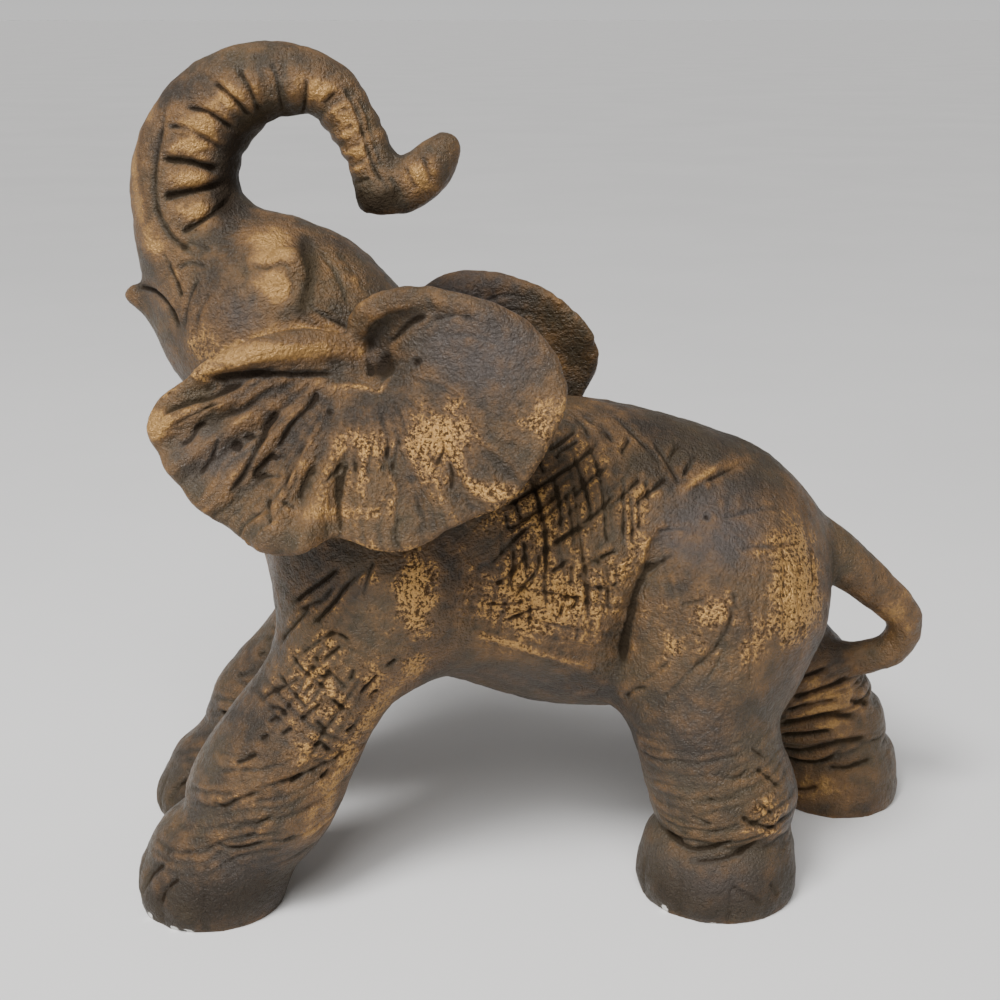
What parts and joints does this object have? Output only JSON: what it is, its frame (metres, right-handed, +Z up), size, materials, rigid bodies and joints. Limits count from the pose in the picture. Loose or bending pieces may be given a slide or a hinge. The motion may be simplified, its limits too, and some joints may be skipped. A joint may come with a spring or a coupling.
{
  "type": "elephant figurine",
  "caption": "Standing elephant figurine with a raised, back-curled trunk, spread pleated ears and a looped tail, in aged bronze finish.",
  "frame": {"origin": "middle of the bounding box at floor level, between the four feet", "axes": "+X from the head towards the tail, +Y towards the elephant's right side, +Z up from the floor"},
  "size_m": [0.1616, 0.0822, 0.1599],
  "materials": {
    "patinated_cast": "cast resin painted as aged bronze: dark brown in the hollows, worn gold on the raised parts, satin sheen"
  },
  "bodies": {
    "root": {"elephant": "patinated_cast"}
  },
  "joints": []
}
